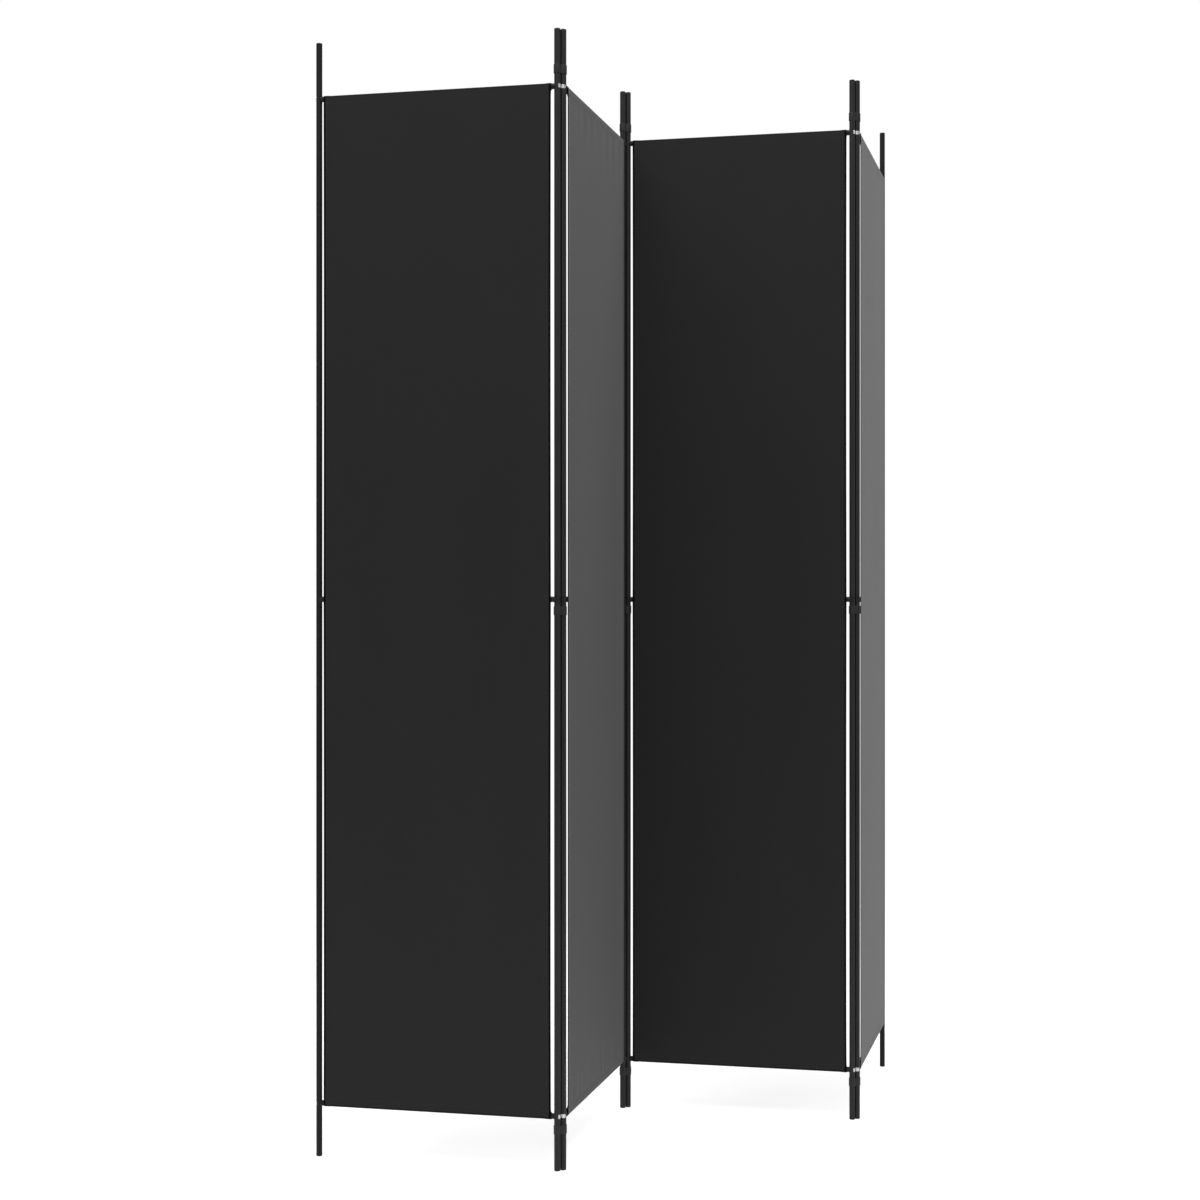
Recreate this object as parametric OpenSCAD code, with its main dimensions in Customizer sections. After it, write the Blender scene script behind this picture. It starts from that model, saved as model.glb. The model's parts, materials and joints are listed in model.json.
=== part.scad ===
// Folding room divider screen: four fabric panels on thin steel tube frames,
// joined side by side with figure-eight clips so that they fold in a zigzag.
// Millimetres. X runs along the screen, -Y is its front, +Z is up, and the
// origin is on the floor under the middle of the screen.

/* [Screen] */
// Overall height, from the feet's underside to the caps' top
screen_h = 2200; // [1800:10:2400]
// Width of one panel between its two post axes
panel_w = 484; // [350:1:600]
// Angle of each panel to the line of the screen, as it stands
fold_angle = 44; // [20:1:60]

/* [Tubes] */
// Outside diameter of a post
post_d = 12; // [12:0.5:16]
// Wall thickness of a post
post_wall = 0.8; // [0.6:0.1:1]
// Outside diameter of a cross bar
bar_d = 11; // [10:0.5:11]
// Wall thickness of a cross bar
bar_wall = 0.8; // [0.6:0.1:1]
// Clear gap between the two posts of a folding pair
pair_gap = 1.4; // [1.4:0.1:2.4]

/* [Heights] */
// Axis of the top bar, below the top of the screen
top_bar_drop = 112; // [100:1:160]
// Axis of the middle bar above the floor, where the post sections meet
middle_bar_z = 1100; // [950:10:1200]
// Axis of the bottom bar above the floor
bottom_bar_z = 105; // [105:5:160]

/* [Fabric] */
// Gap between a post and the side edge of the fabric
side_gap = 5.4; // [4:0.1:20]
// Thickness of the fabric's bar tunnels
tunnel_t = 0.5; // [0.4:0.1:0.6]
// Clearance between a bar and its fabric tunnel
tunnel_play = 0.1; // [0.05:0.05:0.2]

/* [Hinge clips] */
// Height of a clip along the posts
clip_h = 17; // [10:1:26]
// Wall of a clip's rings
clip_wall = 1; // [0.8:0.1:1]
// Radial running clearance between a clip and a post
clip_play = 0.05; // [0.02:0.01:0.1]
// Centre of the top clip, below the top of the screen
top_clip_drop = 79; // [60:1:80]
// Centre of the middle clip, below the middle bar's axis
middle_clip_drop = 22; // [22:1:60]
// Centre of the bottom clip above the floor
bottom_clip_z = 79; // [30:1:80]

/* [Plugs and bolts] */
// Height of a foot below its post
foot_h = 3; // [2:0.5:6]
// Height of a cap above its post
cap_h = 3; // [2:0.5:6]
// Length of the stem of a foot or cap inside its post
stem_l = 16; // [10:1:30]
// Radius of the shank of a bar bolt
shank_r = 2; // [1.8:0.1:2.2]
// Radius of the head of a bar bolt
head_r = 3; // [2.8:0.1:3.2]
// How far a bolt head stands proud of its post
head_proud = 0.5; // [0.2:0.1:0.6]

/* [Hidden] */
$fn = 64;

post_r = post_d / 2;
bar_r = bar_d / 2;
fit = 0.05;                             // slip fit of a plug inside a tube
post_plug_r = post_r - post_wall - fit;
bar_plug_r = bar_r - bar_wall - fit;
pair_c = post_d + pair_gap;             // axis to axis across a folding pair
run_x = panel_w * cos(fold_angle);      // what one panel covers along the screen
run_y = panel_w * sin(fold_angle);      // and across it
top_bar_z = screen_h - top_bar_drop;
tee_h = 16;                             // visible length of a tee between the post sections
tee_spigot = 30;                        // its reach into each post section
stub_x = post_r + 3.5;                  // where the middle bar starts, from the post axis
cup_r = head_r + 0.35;                  // cup of the saddle washer, around the bolt head
cup_depth = 2.1;                        // how far below the post's surface the head bears
cup_floor = 0.6;
flange_r = post_r - 0.1;                // half the width of its flange, across the post
flange_z = cup_r + 0.4;                 // and half its height
flange_t = 0.5;
bolt_reach = 24;                        // end of the shank, from the post axis
insert_l = 22;

// ---- places ----

// Panel n's own frame: its left post's axis is the origin, x runs to its right
// post, and -y is its front.
module at_panel(n)
    translate([(n - 1) * (run_x + pair_c) - 2 * run_x - 1.5 * pair_c,
               (n % 2 == 1 ? 1 : -1) * run_y / 2, 0])
        rotate([0, 0, n % 2 == 1 ? -fold_angle : fold_angle])
            children();

// Folding pair k, between panels k and k + 1: the left tube's axis is the origin.
module at_pair(k)
    translate([(k - 1) * (run_x + pair_c) - run_x - 1.5 * pair_c,
               (k % 2 == 1 ? -1 : 1) * run_y / 2, 0])
        children();

// A panel's left side, or the same thing mirrored onto its right side
module side(left)
    if (left) children();
    else translate([panel_w, 0, 0]) mirror([1, 0, 0]) children();

module both_sides()
    for (left = [true, false]) side(left) children();

module inward() rotate([0, 90, 0]) children();     // +z becomes +x, into the panel
module outward() rotate([0, -90, 0]) children();   // +z becomes -x, away from it

module tube(r, wall, h)
    difference() {
        cylinder(r = r, h = h);
        translate([0, 0, -1]) cylinder(r = r - wall, h = h + 2);
    }

// ---- posts ----

// Where a bar is bolted on: a seat for the washer's cup in the outer wall,
// and a clearance hole for the shank in the inner wall
module bolt_holes() {
    outward() cylinder(r = cup_r + fit, h = post_r + 2);
    inward() cylinder(r = shank_r + 0.2, h = post_r + 2);
}

module post_lower(left)
    color("#26272a") side(left) difference() {
        translate([0, 0, foot_h]) tube(post_r, post_wall, middle_bar_z - tee_h / 2 - foot_h);
        translate([0, 0, bottom_bar_z]) bolt_holes();
    }

module post_upper(left)
    color("#26272a") side(left) difference() {
        translate([0, 0, middle_bar_z + tee_h / 2])
            tube(post_r, post_wall, screen_h - cap_h - middle_bar_z - tee_h / 2);
        translate([0, 0, top_bar_z]) bolt_holes();
    }

// ---- tee joiners: hold the two post sections and carry the middle bar ----

module tee_joiners()
    color("#1d1d1f") both_sides() translate([0, 0, middle_bar_z]) union() {
        cylinder(r = post_r, h = tee_h, center = true);
        cylinder(r = post_plug_r, h = tee_h + 2 * tee_spigot, center = true);
        inward() cylinder(r = bar_r - 0.2, h = stub_x);
        inward() cylinder(r = bar_plug_r, h = stub_x + tee_spigot);
    }

// ---- cross bars ----

// Top and bottom bars: the ends are cut to sit against the round posts
module end_bar(z)
    color("#26272a") translate([0, 0, z]) difference() {
        inward() tube(bar_r, bar_wall, panel_w);
        both_sides() cylinder(r = post_r, h = 30, center = true);
    }

module middle_bar()
    color("#26272a") translate([stub_x, 0, middle_bar_z])
        inward() tube(bar_r, bar_wall, panel_w - 2 * stub_x);

// Threaded inserts pressed into the ends of the top and bottom bars
module bar_inserts()
    color("#39393b") for (z = [bottom_bar_z, top_bar_z]) both_sides()
        translate([post_r + 0.1, 0, z]) inward() tube(bar_plug_r, bar_plug_r - shank_r - fit, insert_l);

// ---- bolts and washers at the ends of the top and bottom bars ----

// Low head, curved like the post, with a hexagon socket
module bar_bolt()
    difference() {
        union() {
            intersection() {
                outward() translate([0, 0, post_r - cup_depth]) cylinder(r = head_r, h = 8);
                cylinder(r = post_r + head_proud, h = 4 * head_r, center = true);
            }
            inward() translate([0, 0, cup_depth - post_r - 0.5])
                cylinder(r = shank_r, h = bolt_reach + post_r - cup_depth + 0.5);
        }
        outward() translate([0, 0, post_r - 1]) cylinder(r = 1.45, h = 4, $fn = 6);
    }

module bar_bolts()
    color("#c8cacc") for (z = [bottom_bar_z, top_bar_z]) both_sides()
        translate([0, 0, z]) bar_bolt();

// Oblong flange that wraps the post, and a cup that sinks the bolt head in its wall
module bolt_washer()
    difference() {
        intersection() {
            outward() translate([0, 0, post_r - cup_depth - cup_floor])
                cylinder(r = flange_r, h = 3 * post_r);
            cylinder(r = post_r + flange_t, h = 2 * flange_z, center = true);
        }
        difference() {
            cylinder(r = post_r + 0.01, h = 4 * flange_r, center = true);
            outward() cylinder(r = cup_r, h = 3 * post_r);
        }
        outward() translate([0, 0, post_r - cup_depth]) cylinder(r = head_r + fit, h = 8);
        outward() cylinder(r = shank_r + 0.1, h = 3 * post_r);
    }

module bolt_washers()
    color("#bcbec1") for (z = [bottom_bar_z, top_bar_z]) both_sides()
        translate([0, 0, z]) bolt_washer();

// ---- plugs at the ends of the posts ----

module post_caps()
    color("#19191a") both_sides() translate([0, 0, screen_h - cap_h]) union() {
        intersection() {
            cylinder(r = post_r, h = cap_h);
            translate([0, 0, cap_h - 2 * post_r]) sphere(r = 2 * post_r);
        }
        translate([0, 0, -stem_l]) cylinder(r = post_plug_r, h = stem_l + 0.5);
    }

// The underside is flat in the middle and chamfered at the rim
module feet()
    color("#19191a") both_sides() union() {
        rotate_extrude() polygon([[0, 0], [post_r - 1.2, 0], [post_r - 0.4, 0.4],
                                  [post_r, 1.2], [post_r, foot_h], [0, foot_h]]);
        translate([0, 0, foot_h - 0.5]) cylinder(r = post_plug_r, h = stem_l + 0.5);
    }

// ---- fabric: one sheet across the front, with a tunnel round each end bar ----

// The sheet stops just short of the two tunnels that it is sewn into
module fabric() {
    x0 = post_r + side_gap;
    len = panel_w - 2 * x0;
    in_r = bar_r + tunnel_play;
    out_r = in_r + tunnel_t;
    hem = out_r / 2;
    color("#2b2b2c") translate([x0, 0, 0]) {
        for (z = [bottom_bar_z, top_bar_z])
            translate([0, 0, z]) inward() tube(out_r, tunnel_t, len);
        translate([0, 0.05 - out_r, bottom_bar_z + hem])
            cube([len, tunnel_t - 0.1, top_bar_z - bottom_bar_z - 2 * hem]);
    }
}

// ---- hinge clips: figure-eight rings that let both posts turn ----

module hinge_clip() {
    bore = post_r + clip_play;
    difference() {
        union() {
            for (x = [0, pair_c]) translate([x, 0, 0]) cylinder(r = bore + clip_wall, h = clip_h, center = true);
            cube_web(bore);
        }
        for (x = [0, pair_c]) translate([x, 0, 0]) cylinder(r = bore, h = clip_h + 2, center = true);
    }
}

// Fills the waist between the two rings
module cube_web(bore)
    translate([pair_c / 2, 0, 0]) cube([bore, 1.3 * bore, clip_h], center = true);

module hinge_clips()
    color("#141415")
        for (z = [bottom_clip_z, middle_bar_z - middle_clip_drop, screen_h - top_clip_drop])
            translate([0, 0, z]) hinge_clip();

// The four panels, left to right, and the clips of the three folding pairs
module panel_1_left_post_lower() { at_panel(1) post_lower(left = true); }
module panel_1_left_post_upper() { at_panel(1) post_upper(left = true); }
module panel_1_right_post_lower() { at_panel(1) post_lower(left = false); }
module panel_1_right_post_upper() { at_panel(1) post_upper(left = false); }
module panel_1_tee_joiners() { at_panel(1) tee_joiners(); }
module panel_1_top_bar() { at_panel(1) end_bar(top_bar_z); }
module panel_1_middle_bar() { at_panel(1) middle_bar(); }
module panel_1_bottom_bar() { at_panel(1) end_bar(bottom_bar_z); }
module panel_1_bar_inserts() { at_panel(1) bar_inserts(); }
module panel_1_bar_bolts() { at_panel(1) bar_bolts(); }
module panel_1_bolt_washers() { at_panel(1) bolt_washers(); }
module panel_1_post_caps() { at_panel(1) post_caps(); }
module panel_1_feet() { at_panel(1) feet(); }
module panel_1_fabric() { at_panel(1) fabric(); }
module panel_2_left_post_lower() { at_panel(2) post_lower(left = true); }
module panel_2_left_post_upper() { at_panel(2) post_upper(left = true); }
module panel_2_right_post_lower() { at_panel(2) post_lower(left = false); }
module panel_2_right_post_upper() { at_panel(2) post_upper(left = false); }
module panel_2_tee_joiners() { at_panel(2) tee_joiners(); }
module panel_2_top_bar() { at_panel(2) end_bar(top_bar_z); }
module panel_2_middle_bar() { at_panel(2) middle_bar(); }
module panel_2_bottom_bar() { at_panel(2) end_bar(bottom_bar_z); }
module panel_2_bar_inserts() { at_panel(2) bar_inserts(); }
module panel_2_bar_bolts() { at_panel(2) bar_bolts(); }
module panel_2_bolt_washers() { at_panel(2) bolt_washers(); }
module panel_2_post_caps() { at_panel(2) post_caps(); }
module panel_2_feet() { at_panel(2) feet(); }
module panel_2_fabric() { at_panel(2) fabric(); }
module panel_3_left_post_lower() { at_panel(3) post_lower(left = true); }
module panel_3_left_post_upper() { at_panel(3) post_upper(left = true); }
module panel_3_right_post_lower() { at_panel(3) post_lower(left = false); }
module panel_3_right_post_upper() { at_panel(3) post_upper(left = false); }
module panel_3_tee_joiners() { at_panel(3) tee_joiners(); }
module panel_3_top_bar() { at_panel(3) end_bar(top_bar_z); }
module panel_3_middle_bar() { at_panel(3) middle_bar(); }
module panel_3_bottom_bar() { at_panel(3) end_bar(bottom_bar_z); }
module panel_3_bar_inserts() { at_panel(3) bar_inserts(); }
module panel_3_bar_bolts() { at_panel(3) bar_bolts(); }
module panel_3_bolt_washers() { at_panel(3) bolt_washers(); }
module panel_3_post_caps() { at_panel(3) post_caps(); }
module panel_3_feet() { at_panel(3) feet(); }
module panel_3_fabric() { at_panel(3) fabric(); }
module panel_4_left_post_lower() { at_panel(4) post_lower(left = true); }
module panel_4_left_post_upper() { at_panel(4) post_upper(left = true); }
module panel_4_right_post_lower() { at_panel(4) post_lower(left = false); }
module panel_4_right_post_upper() { at_panel(4) post_upper(left = false); }
module panel_4_tee_joiners() { at_panel(4) tee_joiners(); }
module panel_4_top_bar() { at_panel(4) end_bar(top_bar_z); }
module panel_4_middle_bar() { at_panel(4) middle_bar(); }
module panel_4_bottom_bar() { at_panel(4) end_bar(bottom_bar_z); }
module panel_4_bar_inserts() { at_panel(4) bar_inserts(); }
module panel_4_bar_bolts() { at_panel(4) bar_bolts(); }
module panel_4_bolt_washers() { at_panel(4) bolt_washers(); }
module panel_4_post_caps() { at_panel(4) post_caps(); }
module panel_4_feet() { at_panel(4) feet(); }
module panel_4_fabric() { at_panel(4) fabric(); }
module hinge_clips_1_2() { at_pair(1) hinge_clips(); }
module hinge_clips_2_3() { at_pair(2) hinge_clips(); }
module hinge_clips_3_4() { at_pair(3) hinge_clips(); }

panel_1_left_post_lower();
panel_1_left_post_upper();
panel_1_right_post_lower();
panel_1_right_post_upper();
panel_1_tee_joiners();
panel_1_top_bar();
panel_1_middle_bar();
panel_1_bottom_bar();
panel_1_bar_inserts();
panel_1_bar_bolts();
panel_1_bolt_washers();
panel_1_post_caps();
panel_1_feet();
panel_1_fabric();
panel_2_left_post_lower();
panel_2_left_post_upper();
panel_2_right_post_lower();
panel_2_right_post_upper();
panel_2_tee_joiners();
panel_2_top_bar();
panel_2_middle_bar();
panel_2_bottom_bar();
panel_2_bar_inserts();
panel_2_bar_bolts();
panel_2_bolt_washers();
panel_2_post_caps();
panel_2_feet();
panel_2_fabric();
panel_3_left_post_lower();
panel_3_left_post_upper();
panel_3_right_post_lower();
panel_3_right_post_upper();
panel_3_tee_joiners();
panel_3_top_bar();
panel_3_middle_bar();
panel_3_bottom_bar();
panel_3_bar_inserts();
panel_3_bar_bolts();
panel_3_bolt_washers();
panel_3_post_caps();
panel_3_feet();
panel_3_fabric();
panel_4_left_post_lower();
panel_4_left_post_upper();
panel_4_right_post_lower();
panel_4_right_post_upper();
panel_4_tee_joiners();
panel_4_top_bar();
panel_4_middle_bar();
panel_4_bottom_bar();
panel_4_bar_inserts();
panel_4_bar_bolts();
panel_4_bolt_washers();
panel_4_post_caps();
panel_4_feet();
panel_4_fabric();
hinge_clips_1_2();
hinge_clips_2_3();
hinge_clips_3_4();
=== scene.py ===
import json
import math

import bmesh
import bpy
import numpy as np
from mathutils import Matrix, Vector


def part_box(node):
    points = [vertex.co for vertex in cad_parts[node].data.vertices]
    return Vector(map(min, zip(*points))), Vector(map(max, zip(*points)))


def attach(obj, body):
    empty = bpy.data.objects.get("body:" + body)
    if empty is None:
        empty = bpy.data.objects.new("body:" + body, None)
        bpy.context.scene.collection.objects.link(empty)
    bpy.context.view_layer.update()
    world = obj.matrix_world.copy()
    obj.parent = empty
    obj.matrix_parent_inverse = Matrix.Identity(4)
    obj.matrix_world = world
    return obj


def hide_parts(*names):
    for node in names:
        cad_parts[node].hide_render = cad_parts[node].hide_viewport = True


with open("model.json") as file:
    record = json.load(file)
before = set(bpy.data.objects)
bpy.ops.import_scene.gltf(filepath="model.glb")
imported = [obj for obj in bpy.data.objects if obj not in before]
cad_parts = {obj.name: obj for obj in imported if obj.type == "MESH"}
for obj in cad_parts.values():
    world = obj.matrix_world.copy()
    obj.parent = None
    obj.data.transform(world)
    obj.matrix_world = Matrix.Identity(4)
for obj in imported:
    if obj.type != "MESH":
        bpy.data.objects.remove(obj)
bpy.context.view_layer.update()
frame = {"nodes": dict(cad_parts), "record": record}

scene = bpy.context.scene
MM = 0.001

# ---------------------------------------------------------------- the frame's own sizes


def middle(node):
    lo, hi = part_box(node)
    return (lo + hi) / 2


def span(node, axis):
    lo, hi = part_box(node)
    return hi[axis] - lo[axis]


class Panel:
    """One panel's own axes: x from its left post to its right one, -y out of its front, z up."""

    def __init__(self, n):
        self.n = n
        self.body = f"panel_{n}"
        left, right = middle(f"panel_{n}_left_post_lower"), middle(f"panel_{n}_right_post_lower")
        left.z = right.z = 0
        x = (right - left).normalized()
        y = Vector((0, 0, 1)).cross(x)
        self.width = (right - left).length
        self.matrix = Matrix(((x.x, y.x, 0, left.x), (x.y, y.y, 0, left.y), (0, 0, 1, 0), (0, 0, 0, 1)))
        self.mirrored = self.matrix @ Matrix.Translation((self.width, 0, 0)) @ Matrix.Diagonal((-1, 1, 1, 1))


PANELS = [Panel(n) for n in (1, 2, 3, 4)]
POST_R = span("panel_1_left_post_lower", 0) / 2
BAR_R = span("panel_1_top_bar", 2) / 2
TOP_Z = middle("panel_1_top_bar").z
MID_Z = middle("panel_1_middle_bar").z
LOW_Z = middle("panel_1_bottom_bar").z
SCREEN_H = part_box("panel_1_post_caps")[1].z
CAP_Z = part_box("panel_1_left_post_upper")[1].z
FOOT_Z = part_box("panel_1_left_post_lower")[0].z

# ---------------------------------------------------------------- meshes


def mesh_of(name, verts, faces, uv=None):
    mesh = bpy.data.meshes.new(name)
    mesh.from_pydata([tuple(map(float, v)) for v in verts], [], [tuple(map(int, f)) for f in faces])
    if uv is not None:
        layer = mesh.uv_layers.new(name="weave")
        loops = np.empty(len(mesh.loops), np.int32)
        mesh.loops.foreach_get("vertex_index", loops)
        layer.data.foreach_set("uv", np.asarray(uv, np.float32)[loops].ravel())
    mesh.validate()
    return mesh


def piece(name, mesh, material, body, replaces=(), sharp=38):
    """A finished piece that rides on its body and stands for its CAD nodes."""
    mesh.polygons.foreach_set("use_smooth", [True] * len(mesh.polygons))
    mesh.set_sharp_from_angle(angle=math.radians(sharp))
    mesh.materials.clear()
    mesh.materials.append(material)
    o = bpy.data.objects.new(name, mesh)
    scene.collection.objects.link(o)
    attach(o, body)
    if replaces:
        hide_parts(*replaces)
    return o


def moved(part, matrix):
    """(verts, faces) under a matrix, with its faces turned over where the matrix mirrors."""
    verts, faces = part
    m = np.array(matrix, float)
    out = np.asarray(verts, float) @ m[:3, :3].T + m[:3, 3]
    if np.linalg.det(m[:3, :3]) < 0:
        faces = [tuple(reversed(f)) for f in faces]
    return out, faces


def joined(parts):
    verts, faces, at = [], [], 0
    for v, f in parts:
        verts.append(np.asarray(v, float))
        faces += [tuple(i + at for i in face) for face in f]
        at += len(v)
    return np.concatenate(verts), faces


def turned(rings, segments=48):
    """A closed solid round +Z. rings are (radius, z) from its lower end up; a radius may be an array of one value a segment."""
    turn = np.linspace(0, 2 * np.pi, segments, endpoint=False)
    c, s = np.cos(turn), np.sin(turn)
    verts, faces, rows = [], [], []
    for r, z in rings:
        if np.isscalar(r) and r == 0:
            rows.append([len(verts)])
            verts.append((0, 0, z))
            continue
        r = np.broadcast_to(r, (segments,))
        rows.append(list(range(len(verts), len(verts) + segments)))
        verts += [(a, b, z) for a, b in zip(r * c, r * s)]
    for low, high in zip(rows, rows[1:]):
        for i in range(segments):
            j = (i + 1) % segments
            if len(low) == 1:
                faces.append((low[0], high[j], high[i]))
            elif len(high) == 1:
                faces.append((low[i], low[j], high[0]))
            else:
                faces.append((low[i], low[j], high[j], high[i]))
    return np.array(verts, float), faces


def evaluated(verts, faces, *modifiers):
    """The mesh after modifiers, each (type, {setting: value})."""
    o = bpy.data.objects.new("work", mesh_of("work", verts, faces))
    scene.collection.objects.link(o)
    for kind, settings in modifiers:
        m = o.modifiers.new(kind, kind)
        for k, v in settings.items():
            setattr(m, k, v)
    dg = bpy.context.evaluated_depsgraph_get()
    mesh = bpy.data.meshes.new_from_object(o.evaluated_get(dg))
    co = np.empty(len(mesh.vertices) * 3)
    mesh.vertices.foreach_get("co", co)
    out = co.reshape(-1, 3), [tuple(p.vertices) for p in mesh.polygons]
    bpy.data.objects.remove(o)
    bpy.data.meshes.remove(mesh)
    return out


# ---------------------------------------------------------------- materials


class Nodes:
    def __init__(self, name):
        self.material = bpy.data.materials.new(name)
        self.material.use_nodes = True
        self.tree = self.material.node_tree
        self.tree.nodes.clear()

    def new(self, kind, settings=None, **inputs):
        node = self.tree.nodes.new(kind)
        for k, v in (settings or {}).items():
            setattr(node, k, v)
        for k, v in inputs.items():
            socket = node.inputs[int(k[1:])] if k[0] == "i" and k[1:].isdigit() else node.inputs[k.replace("_", " ")]
            if isinstance(v, bpy.types.NodeSocket):
                self.tree.links.new(v, socket)
            else:
                socket.default_value = v
        return node

    def math(self, operation, a, b=0.0, clamp=False):
        return self.new("ShaderNodeMath", {"operation": operation, "use_clamp": clamp}, i0=a, i1=b).outputs[0]

    def noise(self, vector, scale, detail=2.0, roughness=0.5):
        return self.new("ShaderNodeTexNoise", None, Vector=vector, Scale=scale, Detail=detail, Roughness=roughness).outputs["Fac"]

    def stretched(self, vector, scale):
        return self.new("ShaderNodeMapping", None, Vector=vector, Scale=scale).outputs[0]

    def ramp(self, fac, low, high, at=(0.0, 1.0)):
        """Maps fac from the two stops onto low..high, colours or numbers."""
        r = self.new("ShaderNodeMapRange", None, Value=fac)
        r.inputs["From Min"].default_value, r.inputs["From Max"].default_value = at
        if isinstance(low, tuple):
            mix = self.new("ShaderNodeMix", {"data_type": "RGBA"}, Factor=r.outputs[0])
            mix.inputs[6].default_value, mix.inputs[7].default_value = (*low, 1), (*high, 1)
            return mix.outputs[2]
        r.inputs["To Min"].default_value, r.inputs["To Max"].default_value = low, high
        return r.outputs[0]

    def bump(self, height, strength, distance, normal=None):
        extra = {} if normal is None else {"Normal": normal}
        return self.new("ShaderNodeBump", None, Height=height, Strength=strength, Distance=distance, **extra).outputs[0]

    def finish(self, constants, **linked):
        shader = self.new("ShaderNodeBsdfPrincipled", None, **linked)
        for k, v in constants.items():
            shader.inputs[k].default_value = v
        self.new("ShaderNodeOutputMaterial", None, Surface=shader.outputs[0])
        return self.material


def powder_coat(name, low, high, gloss):
    """Black satin powder coat on steel tube: a fine orange peel, faint streaks along the tube and slight rubbing."""
    n = Nodes(name)
    place = n.new("ShaderNodeTexCoord").outputs["Object"]
    peel = n.noise(place, 850, 2.5)
    fleck = n.noise(place, 5200, 1.0)
    streak = n.noise(n.stretched(place, (260, 260, 5)), 1.0, 3.0)
    cloud = n.noise(place, 9, 3.0)
    shade = n.math("ADD", n.math("MULTIPLY", streak, 0.55), n.math("MULTIPLY", cloud, 0.45))
    colour = n.ramp(shade, (low, low, low * 1.03), (high, high, high * 1.03), (0.34, 0.66))
    rough = n.ramp(n.math("ADD", n.math("MULTIPLY", streak, 0.5), n.math("MULTIPLY", fleck, 0.5)), 0.40, 0.56, (0.3, 0.7))
    normal = n.bump(fleck, 0.10, 0.00004, n.bump(peel, 0.32, 0.00012))
    return n.finish({"IOR": 1.48, "Specular IOR Level": gloss}, Base_Color=colour, Roughness=rough, Normal=normal)


def moulded(name, low, high, roughness, gloss=0.38, grain=2400.0):
    """Moulded plastic with a spark-eroded grain and faint flow marks."""
    n = Nodes(name)
    place = n.new("ShaderNodeTexCoord").outputs["Object"]
    grit = n.noise(place, grain, 2.0)
    flow = n.noise(n.stretched(place, (120, 120, 45)), 1.0, 3.0)
    colour = n.ramp(flow, low, high, (0.3, 0.7))
    rough = n.ramp(n.math("ADD", n.math("MULTIPLY", grit, 0.5), n.math("MULTIPLY", flow, 0.5)), roughness - 0.07, roughness + 0.08, (0.3, 0.7))
    normal = n.bump(grit, 0.25, 0.00006)
    return n.finish({"IOR": 1.49, "Specular IOR Level": gloss}, Base_Color=colour, Roughness=rough, Normal=normal)


def bright_steel(name, low, high):
    """Zinc-plated steel: bright, with fine scratches and slight clouding."""
    n = Nodes(name)
    place = n.new("ShaderNodeTexCoord").outputs["Object"]
    cloud = n.noise(place, 700, 3.0)
    scratch = n.noise(n.stretched(place, (9000, 9000, 900)), 1.0, 2.0)
    colour = n.ramp(cloud, (low, low * 1.01, low * 1.02), (high, high * 1.01, high * 1.02), (0.3, 0.7))
    rough = n.ramp(n.math("ADD", n.math("MULTIPLY", cloud, 0.5), n.math("MULTIPLY", scratch, 0.5)), 0.30, 0.46, (0.3, 0.7))
    normal = n.bump(scratch, 0.12, 0.00003)
    return n.finish({"Metallic": 1.0, "IOR": 2.0}, Base_Color=colour, Roughness=rough, Normal=normal)


def woven(name, low, high, sheen, gloss):
    """Fine plain-woven polyester: a 0.5 mm thread crossing, slubs along both thread directions, and a soft sheen at a low angle."""
    n = Nodes(name)
    place = n.new("ShaderNodeUVMap", {"uv_map": "weave"}).outputs[0]
    both = n.new("ShaderNodeSeparateXYZ", None, Vector=place)
    u, v = both.outputs[0], both.outputs[1]
    pitch = math.pi / 0.0005
    warp = n.math("SINE", n.math("MULTIPLY", u, pitch))
    weft = n.math("SINE", n.math("MULTIPLY", v, pitch))
    cross = n.math("MULTIPLY", n.math("MULTIPLY", warp, weft), 0.5)
    cross = n.math("ADD", cross, 0.5)
    slub_u = n.noise(n.stretched(place, (900, 22, 1)), 1.0, 2.0)
    slub_v = n.noise(n.stretched(place, (26, 900, 1)), 1.0, 2.0)
    slub = n.math("MULTIPLY", n.math("ADD", slub_u, slub_v), 0.5)
    cloud = n.noise(n.stretched(place, (7, 3, 1)), 1.0, 3.0)
    shade = n.math("ADD", n.math("MULTIPLY", slub, 0.5), n.math("MULTIPLY", cloud, 0.25))
    shade = n.math("ADD", shade, n.math("MULTIPLY", cross, 0.25))
    colour = n.ramp(shade, low, high, (0.28, 0.72))
    rough = n.ramp(slub, 0.77, 0.88, (0.35, 0.65))
    normal = n.bump(slub, 0.25, 0.00012, n.bump(cross, 0.35, 0.0001))
    return n.finish({"IOR": 1.45, "Specular IOR Level": gloss, "Sheen Weight": sheen, "Sheen Roughness": 0.40, "Sheen Tint": (1, 1, 1, 1)},
                    Base_Color=colour, Roughness=rough, Normal=normal)


def sewing_thread():
    n = Nodes("sewing_thread_black")
    place = n.new("ShaderNodeTexCoord").outputs["Object"]
    twist = n.noise(place, 6000, 1.0)
    colour = n.ramp(twist, (0.010, 0.010, 0.0105), (0.022, 0.022, 0.023), (0.3, 0.7))
    rough = n.ramp(twist, 0.42, 0.6, (0.3, 0.7))
    return n.finish({"IOR": 1.5, "Specular IOR Level": 0.35, "Sheen Weight": 0.1}, Base_Color=colour, Roughness=rough,
                    Normal=n.bump(twist, 0.4, 0.00005))


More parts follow.
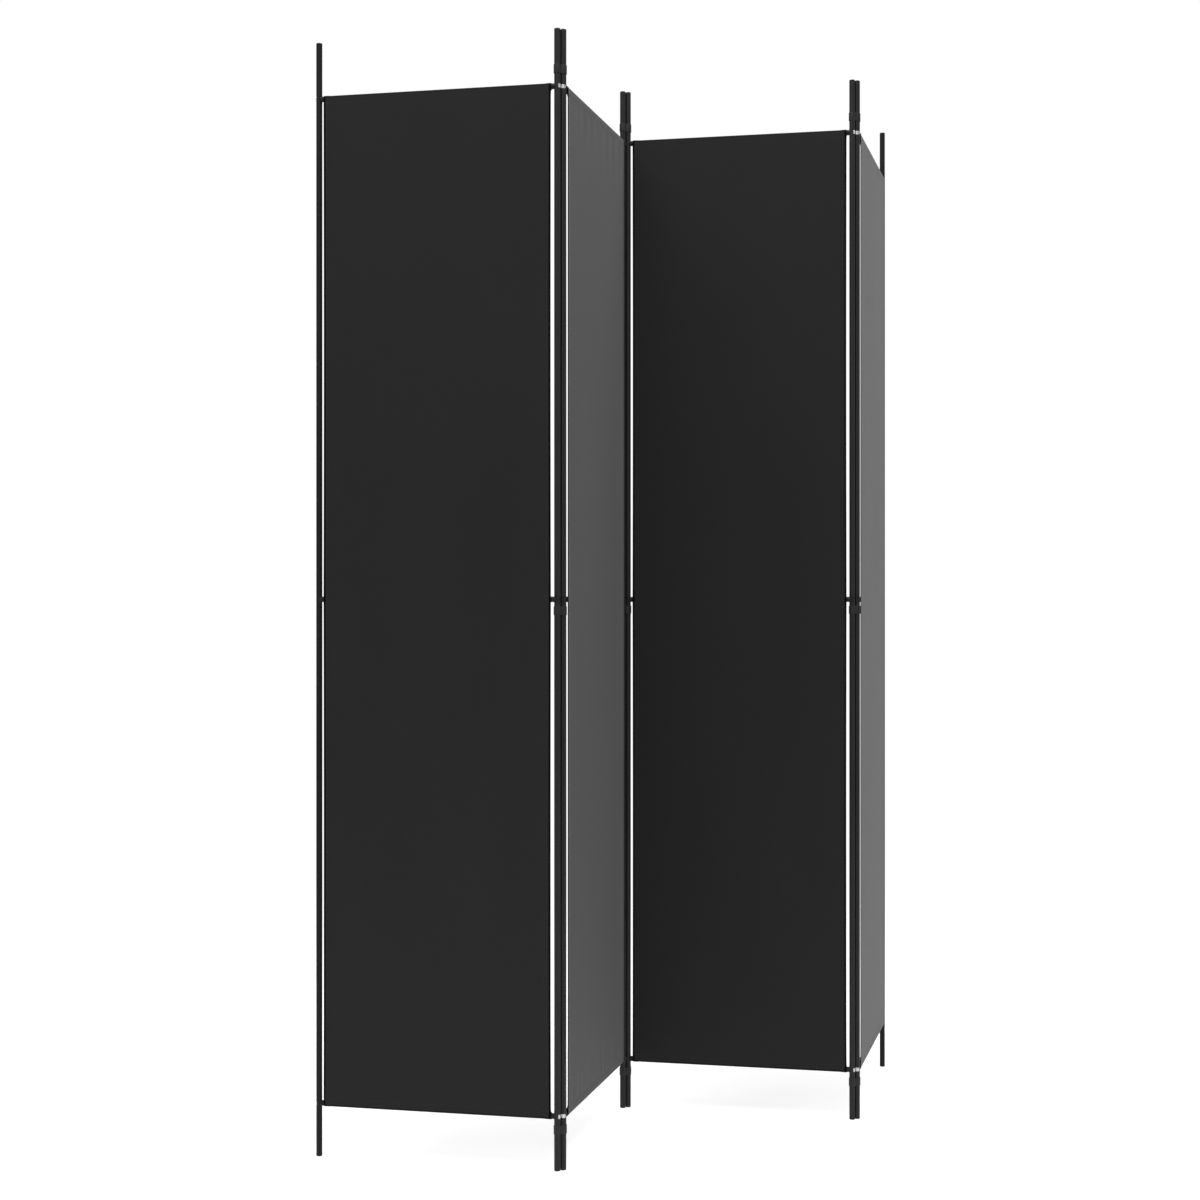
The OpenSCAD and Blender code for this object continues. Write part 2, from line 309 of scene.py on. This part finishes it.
TUBE = powder_coat("powder_coat_black", 0.0080, 0.0132, 0.24)
# a darker copy of the same black powder coat: painted shade on the bars and the two outer posts
TUBE_PAINTED_SHADE = powder_coat("powder_coat_black_painted_shade", 0.0055, 0.0090, 0.16)
CLIP = moulded("clip_plastic_black", (0.0055, 0.0055, 0.0058), (0.0090, 0.0090, 0.0093), 0.52, 0.34)
JOINER = moulded("joiner_plastic_black", (0.0045, 0.0045, 0.0047), (0.0070, 0.0070, 0.0072), 0.50, 0.24)
PLUG = moulded("plug_plastic_black", (0.0060, 0.0060, 0.0063), (0.0095, 0.0095, 0.0098), 0.55)
INSERT = moulded("insert_plastic_grey", (0.030, 0.030, 0.031), (0.045, 0.045, 0.046), 0.50)
BOLT = bright_steel("zinc_plated_bolt", 0.56, 0.70)
WASHER = bright_steel("zinc_plated_washer", 0.44, 0.56)
CLOTH = woven("woven_polyester_black", (0.0128, 0.0128, 0.0129), (0.0166, 0.0166, 0.0167), 0.235, 0.12)
# two darker copies of the cloth, which paint shade: the first on bands at the side edges and on the cut rim, the second
# on the outside of each tunnel round the bars
CLOTH_EDGE_PAINTED_SHADE = woven("woven_polyester_painted_edge_shade", (0.0020, 0.0020, 0.0020), (0.0033, 0.0033, 0.0033), 0.035, 0.012)
CLOTH_TUNNEL_PAINTED_SHADE = woven("woven_polyester_painted_shade_round_the_bars", (0.0060, 0.0060, 0.0061), (0.0090, 0.0090, 0.0091), 0.11, 0.05)
THREAD = sewing_thread()
BY_SLOT = {"tube": TUBE, "clip": CLIP, "joiner": JOINER, "plug": PLUG, "washer": WASHER, "insert": INSERT, "bolt": BOLT, "fabric": CLOTH}
# the photo shows the bars and the two outer posts a shade darker
# painted shade: these nodes take the darker copy of the powder coat instead of the plain one
PAINTED_SHADE_NODES = ("_bar", "panel_1_left_post_lower", "panel_1_left_post_upper", "panel_4_right_post_lower", "panel_4_right_post_upper")
for part in frame["record"]["subparts"]:
    node = frame["nodes"][part["node"]]
    for s in node.material_slots:
        s.material = TUBE_PAINTED_SHADE if part["node"].endswith(PAINTED_SHADE_NODES) else BY_SLOT[part["material_slot"]]

# ---------------------------------------------------------------- caps, feet

STEM_R = POST_R - 0.85 * MM
CAP_H = SCREEN_H - CAP_Z


def dome(r, top, ball):
    return top - ball + math.sqrt(max(ball * ball - r * r, 0))


def cap():
    """A plug with a domed head, its rim rounded where it meets the tube's end."""
    ball = 2 * POST_R
    rings = [(0, -16 * MM), (STEM_R - 0.8 * MM, -16 * MM), (STEM_R, -15 * MM), (STEM_R, 0.0)]
    rings += [(POST_R - 0.18 * MM, 0.0), (POST_R - 0.05 * MM, 0.05 * MM), (POST_R, 0.18 * MM)]
    edge = POST_R - 0.55 * MM
    z_edge = dome(edge, CAP_H, ball)
    for k in range(1, 6):
        a = k / 5 * math.radians(62)
        rings.append((POST_R - 0.55 * MM * (1 - math.cos(a)) * 1.9, (z_edge - 0.62 * MM) + 0.62 * MM * math.sin(a)))
    rings.append((edge - 0.25 * MM, dome(edge - 0.25 * MM, CAP_H, ball)))
    for f in (0.82, 0.66, 0.5, 0.34, 0.18):
        rings.append((f * POST_R, dome(f * POST_R, CAP_H, ball)))
    rings.append((0, CAP_H))
    return turned(rings)


def foot():
    """A glide: flat underneath, its rim rounded, with a shadow line just below the tube."""
    h = FOOT_Z
    rings = [(0, 0), (POST_R - 1.5 * MM, 0), (POST_R - 1.05 * MM, 0.06 * MM), (POST_R - 0.62 * MM, 0.26 * MM),
             (POST_R - 0.28 * MM, 0.58 * MM), (POST_R - 0.07 * MM, 0.98 * MM), (POST_R, 1.4 * MM),
             (POST_R, h - 0.5 * MM), (POST_R - 0.22 * MM, h - 0.34 * MM), (POST_R - 0.22 * MM, h - 0.12 * MM),
             (POST_R - 0.1 * MM, h), (STEM_R, h), (STEM_R, h + 15 * MM), (STEM_R - 0.8 * MM, h + 16 * MM), (0, h + 16 * MM)]
    return turned(rings)


for p in PANELS:
    both = (p.matrix, p.mirrored)
    caps = joined([moved(cap(), m @ Matrix.Translation((0, 0, CAP_Z))) for m in both])
    piece(f"panel_{p.n}_caps", mesh_of("caps", *caps), PLUG, p.body, [f"panel_{p.n}_post_caps"])
    feet = joined([moved(foot(), m) for m in both])
    piece(f"panel_{p.n}_glides", mesh_of("glides", *feet), PLUG, p.body, [f"panel_{p.n}_feet"])

# ---------------------------------------------------------------- bolts

OUT = Matrix(((0, 0, -1, 0), (0, 1, 0, 0), (1, 0, 0, 0), (0, 0, 0, 1)))     # +z becomes -x, out of the panel


def bolt():
    """Low head, curved like the post that it clamps, with a rounded rim and a hexagon socket. +Z is out of the post, from its axis, and +X is along it."""
    seg = 48
    turn = np.linspace(0, 2 * np.pi, seg, endpoint=False)
    hexagon = 1.45 * MM * math.cos(math.pi / 6) / np.cos((turn + math.pi / 6) % (math.pi / 3) - math.pi / 6)
    crown, seat, head = POST_R + 0.5 * MM, POST_R - 2.1 * MM, 3.0 * MM
    rings = [(0, -24 * MM), (1.5 * MM, -24 * MM), (2.0 * MM, -23.4 * MM), (2.0 * MM, seat), (head - 0.2 * MM, seat), (head, seat + 0.2 * MM)]
    for a in np.radians([0, 18, 36, 54, 72, 90]):
        rings.append((head - 0.45 * MM * (1 - math.cos(a)), crown - 0.45 * MM * (1 - math.sin(a))))
    rings += [(2.35 * MM, crown), (2.15 * MM, crown), (1.95 * MM, crown), (1.78 * MM, crown), (hexagon + 0.14 * MM, crown - 0.01 * MM),
              (hexagon, crown - 0.2 * MM), (hexagon, crown - 1.4 * MM), (hexagon * 0.86, crown - 1.6 * MM), (0, crown - 1.95 * MM)]
    verts, faces = turned(rings, seg)
    outer = verts[:, 2] > seat + 0.5 * MM
    drop = crown - np.sqrt(crown ** 2 - np.clip(verts[:, 1], -head, head) ** 2)
    verts[outer, 2] -= drop[outer]
    return verts, faces


for p in PANELS:
    parts = [moved(bolt(), m @ Matrix.Translation((0, 0, z)) @ OUT) for m in (p.matrix, p.mirrored) for z in (LOW_Z, TOP_Z)]
    piece(f"panel_{p.n}_bolts", mesh_of("bolts", *joined(parts)), BOLT, p.body, [f"panel_{p.n}_bar_bolts"], 30)

# ---------------------------------------------------------------- hinge clips

CLIP_BORE = POST_R + 0.05 * MM
CLIP_R = CLIP_BORE + 1.0 * MM
CLIP_H = 17 * MM


def clip_outline(gap, fillet=3.2 * MM, step=math.radians(7.5)):
    """The figure of eight round two posts a gap apart, its waist filled with a fillet each side."""
    reach = CLIP_R + fillet
    rise = math.sqrt(reach * reach - gap * gap / 4)
    open_at = math.atan2(rise, gap / 2)
    pts = []

    def arc(cx, cy, r, a, b):
        k = max(2, int(abs(b - a) / step))
        pts.extend((cx + r * math.cos(a + (b - a) * i / k), cy + r * math.sin(a + (b - a) * i / k)) for i in range(k))

    arc(gap / 2, 0, CLIP_R, -(math.pi - open_at), math.pi - open_at)
    arc(0, rise, fillet, -open_at, open_at - math.pi)
    arc(-gap / 2, 0, CLIP_R, open_at, 2 * math.pi - open_at)
    arc(0, -rise, fillet, math.pi - open_at, open_at)
    return pts


def clip(gap):
    """Plastic ring pair, its edges rounded all round, outside and in the bores."""
    curve = bpy.data.curves.new("clip", "CURVE")
    curve.dimensions, curve.fill_mode = "2D", "BOTH"
    round_r = 0.32 * MM
    curve.extrude, curve.bevel_depth, curve.bevel_resolution, curve.offset = CLIP_H / 2 - round_r, round_r, 3, -round_r
    circle = [(math.cos(a) * CLIP_BORE, math.sin(a) * CLIP_BORE) for a in np.linspace(0, 2 * math.pi, 48, endpoint=False)]
    loops = [clip_outline(gap)] + [[(x + s * gap / 2, y) for x, y in circle] for s in (-1, 1)]
    for loop in loops:
        spline = curve.splines.new("POLY")
        spline.points.add(len(loop) - 1)
        for pt, (x, y) in zip(spline.points, loop):
            pt.co = (x, y, 0, 1)
        spline.use_cyclic_u = True
    o = bpy.data.objects.new("clip", curve)
    scene.collection.objects.link(o)
    mesh = bpy.data.meshes.new_from_object(o.evaluated_get(bpy.context.evaluated_depsgraph_get()))
    bm = bmesh.new()
    bm.from_mesh(mesh)
    bmesh.ops.remove_doubles(bm, verts=bm.verts, dist=1e-6)
    bmesh.ops.dissolve_degenerate(bm, edges=bm.edges, dist=1e-7)
    bmesh.ops.recalc_face_normals(bm, faces=bm.faces)
    verts = np.array([v.co[:] for v in bm.verts], float)
    faces = [tuple(v.index for v in f.verts) for f in bm.faces]
    bm.free()
    bpy.data.objects.remove(o)
    bpy.data.meshes.remove(mesh)
    return verts, faces


for k in (1, 2, 3):
    node = f"hinge_clips_{k}_{k + 1}"
    a, b = middle(f"panel_{k}_right_post_lower"), middle(f"panel_{k + 1}_left_post_lower")
    lo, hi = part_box(node)
    heights = [lo.z + CLIP_H / 2, MID_Z - 22 * MM, hi.z - CLIP_H / 2]
    one = clip((b - a).length)
    parts = [moved(one, Matrix.Translation(((a.x + b.x) / 2, (a.y + b.y) / 2, z))) for z in heights]
    piece(f"clips_{k}_{k + 1}", mesh_of("clips", *joined(parts)), CLIP, f"hinge_{k}_{k + 1}", [node], 40)

# ---------------------------------------------------------------- tee joiners

TEE_H = 16 * MM
STUB_X = POST_R + 3.5 * MM
INWARD = Matrix(((0, 0, 1, 0), (0, 1, 0, 0), (-1, 0, 0, 0), (0, 0, 0, 1)))   # +z becomes +x, into the panel


def tee():
    """The body's post section and stub run into each other in a moulded fillet; the spigots go into the tubes."""
    e = 0.02 * MM
    body = turned([(0, -TEE_H / 2 + e), (POST_R - 0.4 * MM, -TEE_H / 2 + e), (POST_R, -TEE_H / 2 + 0.4 * MM),
                   (POST_R, TEE_H / 2 - 0.4 * MM), (POST_R - 0.4 * MM, TEE_H / 2 - e), (0, TEE_H / 2 - e)], 64)
    r = BAR_R - 0.1 * MM
    stub = moved(turned([(0, 0), (r, 0), (r, STUB_X - 0.45 * MM), (r - 0.35 * MM, STUB_X - e), (0, STUB_X - e)], 64), INWARD)
    voxel = 0.3 * MM
    blended = evaluated(*joined([body, stub]), ("REMESH", {"mode": "VOXEL", "voxel_size": voxel}),
                        ("SMOOTH", {"factor": 0.5, "iterations": 6}))
    spigot = POST_R - 0.85 * MM
    bar_spigot = BAR_R - 0.85 * MM
    inside = [turned([(0, a), (spigot - 0.6 * MM, a), (spigot, a + 0.6 * MM), (spigot, b - 0.6 * MM), (spigot - 0.6 * MM, b), (0, b)], 32)
              for a, b in ((-TEE_H / 2 - 30 * MM, -TEE_H / 2 + 0.6 * MM), (TEE_H / 2 - 0.6 * MM, TEE_H / 2 + 30 * MM))]
    reach = STUB_X + 30 * MM
    inside.append(moved(turned([(0, STUB_X - 0.6 * MM), (bar_spigot, STUB_X - 0.6 * MM), (bar_spigot, reach - 0.6 * MM),
                                (bar_spigot - 0.6 * MM, reach), (0, reach)], 32), INWARD))
    return joined([blended] + inside)


one_tee = tee()
for p in PANELS:
    parts = [moved(one_tee, m @ Matrix.Translation((0, 0, MID_Z))) for m in (p.matrix, p.mirrored)]
    piece(f"panel_{p.n}_tees", mesh_of("tees", *joined(parts)), JOINER, p.body, [f"panel_{p.n}_tee_joiners"], 45)

# ---------------------------------------------------------------- fabric

CLOTH_T = 0.4 * MM
LAYER = 0.45 * MM                     # from layer to layer in a hem
HEM_W = 9 * MM
EDGE_X = POST_R + 5.4 * MM            # the fabric's side edge, from the post's axis
PLANE = -(BAR_R + 0.1 * MM + 0.25 * MM)   # the sheet's own middle, in front of the bars
TUNNEL_R = -PLANE
SEAM = 8.8 * MM                       # the tunnel's seam, from the bar's axis
HEM_END = 15.5 * MM


def smooth_step(t):
    t = np.clip(t, 0, 1)
    return t * t * (3 - 2 * t)


def along(points, step):
    """Points every step along a polyline."""
    p = np.asarray(points, float)
    d = np.concatenate([[0], np.cumsum(np.linalg.norm(np.diff(p, axis=0), axis=1))])
    k = max(2, int(round(d[-1] / step)))
    at = np.linspace(0, d[-1], k + 1)
    return np.stack([np.interp(at, d, p[:, i]) for i in range(p.shape[1])], 1)


def tunnel_path():
    """From the hem's raw end, behind the sheet, round the bar and down its front to the seam. (y, z) from the bar's axis, top bar."""
    back = PLANE + LAYER
    start = Vector((back, -(SEAM + 1.2 * MM)))
    d = start.length
    touch = math.atan2(start.y, start.x) + math.acos(TUNNEL_R / d)
    pts = [(back, -HEM_END), start[:]]
    pts += [(TUNNEL_R * math.cos(a), TUNNEL_R * math.sin(a)) for a in np.linspace(touch, math.pi, 60)]
    pts += [(PLANE, -SEAM)]
    p = along(pts, 0.25 * MM)
    for _ in range(10):
        p[1:-1] = 0.5 * p[1:-1] + 0.25 * (p[:-2] + p[2:])
    return along(p, 1.1 * MM)


def front_heights():
    """Heights of the sheet's rows between the two seams: close together near the seams and the middle bar."""
    z, out = LOW_Z + SEAM, []
    top = TOP_Z - SEAM
    while z < top - 0.4 * MM:
        out.append(z)
        near = min(z - (LOW_Z + SEAM), top - z, abs(z - MID_Z) * 1.2)
        z += min(max(1.5 * MM, 0.16 * near + 1.2 * MM), 14 * MM)
    return np.array(out[1:])


def cloth_path():
    """(y, z) along the whole sheet, from the hem behind the bottom bar to the hem behind the top bar."""
    t = tunnel_path()
    top = np.stack([t[:, 0], TOP_Z + t[:, 1]], 1)
    low = np.stack([t[:, 0], LOW_Z - t[:, 1]], 1)
    z = front_heights()
    return np.concatenate([low, np.stack([np.full(len(z), PLANE), z], 1), top[::-1]])


def cloth_width(width):
    """(x, offset behind the front layer) across the whole sheet, from the left hem's raw edge to the right one's."""
    x0, x1 = EDGE_X, width - EDGE_X
    r = LAYER / 2
    left = [(x0 + HEM_W * f, LAYER) for f in (1, 0.75, 0.5, 0.25)] + [(x0 + r, LAYER)]
    left += [(x0 + r - r * math.sin(a), r + r * math.cos(a)) for a in np.radians([30, 60, 90, 120, 150])]
    left += [(x0 + r, 0)]
    near = [x0 + f * MM for f in (0.8, 2.2, 3.9, 4.9, 6.2, 8, 10, 12.5)]
    middle_x = np.linspace(x0 + 16 * MM, x1 - 16 * MM, int((x1 - x0) / (4.2 * MM)))
    right = [(width - x, o) for x, o in reversed(left)]
    return np.array(left + [(x, 0) for x in near] + [(x, 0) for x in middle_x] + [(width - x, 0) for x in reversed(near)] + right)


def waves(rng, count, low, high):
    """count sine waves of random length between low and high, in metres, and random phase."""
    return [(2 * math.pi / rng.uniform(low, high), rng.uniform(0, 2 * math.pi), rng.uniform(0.5, 1)) for _ in range(count)]


def edge_shade_index(grid, across):
    """The material of each face of the sheet: 1 in the bands of painted shade at its sides, 2 in the painted shade on
    the outside of each tunnel, otherwise 0.
    """
    z = grid[:, :, 2]
    edge_shade_mask = (across[:, 1] > 1e-9) | (across[:, 0] < EDGE_X + 4.0 * MM) | (across[:, 0] > across[:, 0].max() - 4.0 * MM)
    edge_shade_mask = np.broadcast_to(edge_shade_mask[None, :], z.shape)
    outside = (z > TOP_Z + 0.5 * MM) | (z < LOW_Z - 0.5 * MM)
    edge_shade_faces, tunnel_shade_faces = (m[:-1, :-1] & m[1:, 1:] & m[1:, :-1] & m[:-1, 1:] for m in (edge_shade_mask, outside))
    return np.where(edge_shade_faces, 1, np.where(tunnel_shade_faces, 2, 0)).ravel()


def cloth(p):
    """The sheet's middle surface, as rows along the path and columns across the width."""
    rng = np.random.default_rng(40 + p.n)
    path, across = cloth_path(), cloth_width(p.width)
    tangent = np.gradient(path, axis=0)
    tangent /= np.linalg.norm(tangent, axis=1)[:, None]
    behind = np.stack([tangent[:, 1], -tangent[:, 0]], 1)       # points at the bars' side all along
    length = np.concatenate([[0], np.cumsum(np.linalg.norm(np.diff(path, axis=0), axis=1))])
    cut = np.concatenate([[0], np.cumsum(np.linalg.norm(np.diff(across, axis=0), axis=1))])
    x, off = across[:, 0][None, :], across[:, 1][None, :]
    y, z = path[:, 0][:, None], path[:, 1][:, None]
    x0, x1 = EDGE_X, p.width - EDGE_X
    side = np.minimum(x - x0, x1 - x)
    hemmed = 1 - smooth_step((side - HEM_W) / (4 * MM))          # 1 where the cloth is double
    bar = np.minimum(np.abs(z - TOP_Z), np.abs(z - LOW_Z))
    flat = smooth_step((bar - SEAM) / (14 * MM))                 # 0 in the tunnels, 1 on the sheet
    # the doubled hem holds the outer layer off the bars, and so all the way between them
    lift = LAYER * hemmed
    # tension ripples that run down from the tunnels, and a slow unevenness over the sheet
    from_top, from_low = TOP_Z - SEAM - z, z - LOW_Z - SEAM
    ripple = sum(w * np.sin(f * x + a) * np.exp(-np.clip(from_top, 0, 9) / 0.055) for f, a, w in waves(rng, 5, 0.022, 0.075))
    ripple = ripple + sum(w * np.sin(f * x + a) * np.exp(-np.clip(from_low, 0, 9) / 0.05) for f, a, w in waves(rng, 5, 0.022, 0.075))
    slow = sum(w * np.sin(f * x + a) * np.sin(g * z + b) for (f, a, w), (g, b, _) in zip(waves(rng, 4, 0.25, 0.7), waves(rng, 4, 0.5, 1.6)))
    calm = flat * (1 - np.exp(-((z - MID_Z) / (35 * MM)) ** 2)) * smooth_step(side / (30 * MM))
    push = (0.10 * ripple + 0.14 * slow) * MM * calm
    push = np.clip(push, -0.4 * MM, 0.4 * MM) - lift
    # the free side edges draw in a little between the bars
    half = np.where(z > MID_Z, (z - MID_Z) / (TOP_Z - MID_Z), (MID_Z - z) / (MID_Z - LOW_Z))
    bow = 0.7 * MM * np.sin(math.pi * np.clip(half, 0, 1)) * flat
    inward = np.clip((x - p.width / 2) / (p.width / 2), -1, 1) ** 3
    px = x - bow * inward
    py = y + behind[:, 0][:, None] * (off + push)
    pz = z + behind[:, 1][:, None] * (off + push)
    grid = np.stack([px + 0 * py, py, pz], -1)
    uv = np.stack(np.broadcast_arrays(cut[None, :], length[:, None]), -1)
    return grid, uv, (float(cut[-1]), float(length[-1]))


def thick_sheet(grid, uv, t):
    """A closed sheet of thickness t round a middle surface."""
    rows, cols = grid.shape[:2]
    du, dv = np.gradient(grid, axis=1), np.gradient(grid, axis=0)
    normal = np.cross(du, dv)
    normal /= np.linalg.norm(normal, axis=2)[..., None]
    outer, inner = grid + normal * t / 2, grid - normal * t / 2
    verts = np.concatenate([outer.reshape(-1, 3), inner.reshape(-1, 3)])
    n = rows * cols
    i, j = np.meshgrid(np.arange(rows - 1), np.arange(cols - 1), indexing="ij")
    a = (i * cols + j).ravel()
    front = np.stack([a, a + 1, a + cols + 1, a + cols], 1)
    faces = list(map(tuple, front)) + list(map(tuple, front[:, ::-1] + n))
    rim = list(range(cols)) + [r * cols + cols - 1 for r in range(1, rows)]
    rim += [(rows - 1) * cols + c for c in range(cols - 2, -1, -1)] + [r * cols for r in range(rows - 2, 0, -1)]
    faces += [(rim[k], rim[k] + n, rim[(k + 1) % len(rim)] + n, rim[(k + 1) % len(rim)]) for k in range(len(rim))]
    return verts, faces, np.concatenate([uv.reshape(-1, 2)] * 2)


def stitches(line, normals, pitch=3.4 * MM, length=2.7 * MM, r=0.16 * MM, lift=0.08 * MM):
    """Short threads along a line of points, each dipping into the cloth at its two ends."""
    p = np.asarray(line, float)
    d = np.concatenate([[0], np.cumsum(np.linalg.norm(np.diff(p, axis=0), axis=1))])
    count = int(d[-1] / pitch)
    start = (d[-1] - count * pitch) / 2 + (pitch - length) / 2
    s = np.linspace(0, 1, 5)
    at = start + np.arange(count)[:, None] * pitch + s[None, :] * length
    sides = 6
    mid = np.stack([np.interp(at, d, p[:, i]) for i in range(3)], -1)
    nor = np.stack([np.interp(at, d, normals[:, i]) for i in range(3)], -1)
    nor /= np.linalg.norm(nor, axis=-1)[..., None]
    tan = mid[:, -1:] - mid[:, :1]
    tan = np.broadcast_to(tan / np.linalg.norm(tan, axis=-1)[..., None], mid.shape)
    cross = np.cross(tan, nor)
    high = (lift + r * 0.5) * (1 - (2 * s - 1) ** 4) - 0.12 * MM * (2 * s - 1) ** 4
    mid = mid + nor * high[None, :, None]
    width = r * (1 - 0.45 * (2 * s - 1) ** 4)
    turn = np.linspace(0, 2 * math.pi, sides, endpoint=False)
    ring = cross[:, :, None] * np.cos(turn)[None, None, :, None] * width[None, :, None, None]
    ring = ring + nor[:, :, None] * np.sin(turn)[None, None, :, None] * width[None, :, None, None] * 0.8
    verts = (mid[:, :, None] + ring).reshape(-1, 3)
    faces = []
    per = 5 * sides
    one = [(a * sides + k, a * sides + (k + 1) % sides, (a + 1) * sides + (k + 1) % sides, (a + 1) * sides + k) for a in range(4) for k in range(sides)]
    one += [tuple(reversed(range(sides))), tuple(4 * sides + k for k in range(sides))]
    for c in range(count):
        faces += [tuple(i + c * per for i in f) for f in one]
    return verts, faces


def sewing(p, grid, t):
    """Lockstitch rows on both faces: one along each tunnel's seam and one down each side hem."""
    du, dv = np.gradient(grid, axis=1), np.gradient(grid, axis=0)
    normal = np.cross(du, dv)
    normal /= np.linalg.norm(normal, axis=2)[..., None]
    rows, cols = grid.shape[:2]
    path = cloth_path()
    across = cloth_width(p.width)
    sheet_rows = [i for i in range(rows) if abs(path[i, 0] - PLANE) < 0.02 * MM and LOW_Z + SEAM - 0.1 * MM < path[i, 1] < TOP_Z - SEAM + 0.1 * MM]
    first, last = sheet_rows[0] + 1, sheet_rows[-1] - 1
    front_cols = [j for j in range(cols) if across[j, 1] < 1e-9]
    out = []

    def put(line, nor, depth):
        out.append(stitches(line + nor * t / 2, nor))
        out.append(stitches(line - nor * (t / 2 + depth), -nor))

    for row in (first, last):
        line, nor = grid[row, front_cols], normal[row, front_cols]
        put(line[2:-2], nor[2:-2], LAYER)
    for x in (EDGE_X + HEM_W - 2 * MM, p.width - EDGE_X - HEM_W + 2 * MM):
        xs = across[front_cols, 0]
        k = int(np.searchsorted(xs, x))
        f = (x - xs[k - 1]) / (xs[k] - xs[k - 1])
        a, b = front_cols[k - 1], front_cols[k]
        line = grid[:, a] * (1 - f) + grid[:, b] * f
        nor = normal[:, a] * (1 - f) + normal[:, b] * f
        put(line[first:last + 1], nor[first:last + 1], LAYER)
    return joined(out)


for p in PANELS:
    grid, uv, flat = cloth(p)
    verts, faces, uvs = thick_sheet(grid, uv, CLOTH_T)
    verts = moved((verts, []), p.matrix)[0]
    panel_cloth = piece(f"panel_{p.n}_cloth", mesh_of("cloth", verts, faces, uvs), CLOTH, p.body, [f"panel_{p.n}_fabric"], 60)
    # painted shade: the side bands, the cut rim and the outside of the tunnels take the darker copies of the cloth
    edge = edge_shade_index(grid, cloth_width(p.width))
    panel_cloth.data.materials.append(CLOTH_EDGE_PAINTED_SHADE)
    panel_cloth.data.materials.append(CLOTH_TUNNEL_PAINTED_SHADE)
    index = np.zeros(len(panel_cloth.data.polygons), np.int32)
    index[: 2 * len(edge)] = np.concatenate([edge, edge])
    index[2 * len(edge):] = 1
    panel_cloth.data.polygons.foreach_set("material_index", index)
    threads = moved(sewing(p, grid, CLOTH_T), p.matrix)
    seams = piece(f"panel_{p.n}_seams", mesh_of("seams", *threads), THREAD, p.body, (), 60)
    print("flat size of the cloth", [round(x, 4) for x in flat], "faces", len(faces), len(threads[1]))

# ---------------------------------------------------------------- stage, light, camera


def stage_floor():
    """A pale floor round the object, which runs out into the white behind it."""
    rings = [0.0, 0.4, 0.8, 1.2, 1.7, 2.3, 3.0, 3.8]
    seg = 96
    verts, faces = [(0, 0, 0)], []
    for r in rings[1:]:
        verts += [(r * math.cos(2 * math.pi * i / seg), r * math.sin(2 * math.pi * i / seg), 0) for i in range(seg)]
    faces += [(0, 1 + i, 1 + (i + 1) % seg) for i in range(seg)]
    for k in range(len(rings) - 2):
        a, b = 1 + k * seg, 1 + (k + 1) * seg
        faces += [(a + i, b + i, b + (i + 1) % seg, a + (i + 1) % seg) for i in range(seg)]
    n = Nodes("studio_floor_white")
    place = n.new("ShaderNodeTexCoord").outputs["Object"]
    reach = n.new("ShaderNodeVectorMath", {"operation": "LENGTH"}, i0=place).outputs["Value"]
    fade = n.ramp(reach, 0.0, 1.0, (1.3, 3.6))
    shader = n.new("ShaderNodeBsdfPrincipled", None, Roughness=0.75)
    shader.inputs["Base Color"].default_value = (0.95, 0.95, 0.95, 1)
    shader.inputs["Emission Color"].default_value = (1, 1, 1, 1)
    shader.inputs["Emission Strength"].default_value = 0.42
    shader.inputs["Specular IOR Level"].default_value = 0.2
    clear = n.new("ShaderNodeBsdfTransparent")
    mix = n.new("ShaderNodeMixShader", None, i0=fade, i1=shader.outputs[0], i2=clear.outputs[0])
    n.new("ShaderNodeOutputMaterial", None, Surface=mix.outputs[0])
    mesh = mesh_of("floor", verts, faces)
    mesh.materials.append(n.material)
    o = bpy.data.objects.new("studio_floor", mesh)
    scene.collection.objects.link(o)


def softbox(name, place, target, size, radiance, colour=(1, 1, 1)):
    """A square area light that faces its target. radiance is how bright its face is, against the white behind."""
    light = bpy.data.lights.new(name, "AREA")
    light.shape, light.size = "SQUARE", size
    light.energy = math.pi * size * size * radiance
    light.color = colour
    o = bpy.data.objects.new(name, light)
    o.location = place
    o.rotation_euler = (Vector(target) - Vector(place)).to_track_quat("-Z", "Y").to_euler()
    scene.collection.objects.link(o)
    o.visible_camera = False


WHITE, FILL = 1.0, 0.40
LIGHTS = [("overhead", (-0.5, -0.3, 4.3), (0, 0, 0), 4.2, 3.3), ("key", (-3.6, -3.6, 2.6), (0, 0, 1.1), 2.6, 2.6), ("side", (4.3, -3.6, 2.4), (0, 0, 1.1), 3.1, 1.54)]

stage_floor()
for settings in LIGHTS:
    softbox(*settings)
world = bpy.data.worlds.new("studio")
world.use_nodes = True
scene.world = world
tree = world.node_tree
tree.nodes.clear()
seen, lit = tree.nodes.new("ShaderNodeBackground"), tree.nodes.new("ShaderNodeBackground")
seen.inputs["Strength"].default_value, lit.inputs["Strength"].default_value = WHITE, FILL
seen.inputs["Color"].default_value = lit.inputs["Color"].default_value = (1, 1, 1, 1)
path_kind, pick, out = tree.nodes.new("ShaderNodeLightPath"), tree.nodes.new("ShaderNodeMixShader"), tree.nodes.new("ShaderNodeOutputWorld")
tree.links.new(path_kind.outputs["Is Camera Ray"], pick.inputs[0])
tree.links.new(lit.outputs[0], pick.inputs[1])
tree.links.new(seen.outputs[0], pick.inputs[2])
tree.links.new(pick.outputs[0], out.inputs[0])
scene.view_settings.view_transform = "Standard"
scene.view_settings.look = "None"

camera = bpy.data.cameras.new("camera")
camera.sensor_width, camera.lens, camera.clip_start, camera.clip_end = 36, 59.46, 0.05, 60
eye = bpy.data.objects.new("camera", camera)
eye.location, eye.rotation_euler = (-2.2983, -3.4599, 1.0987), (math.radians(90), 0, math.radians(-31.619))
scene.collection.objects.link(eye)
scene.camera = eye
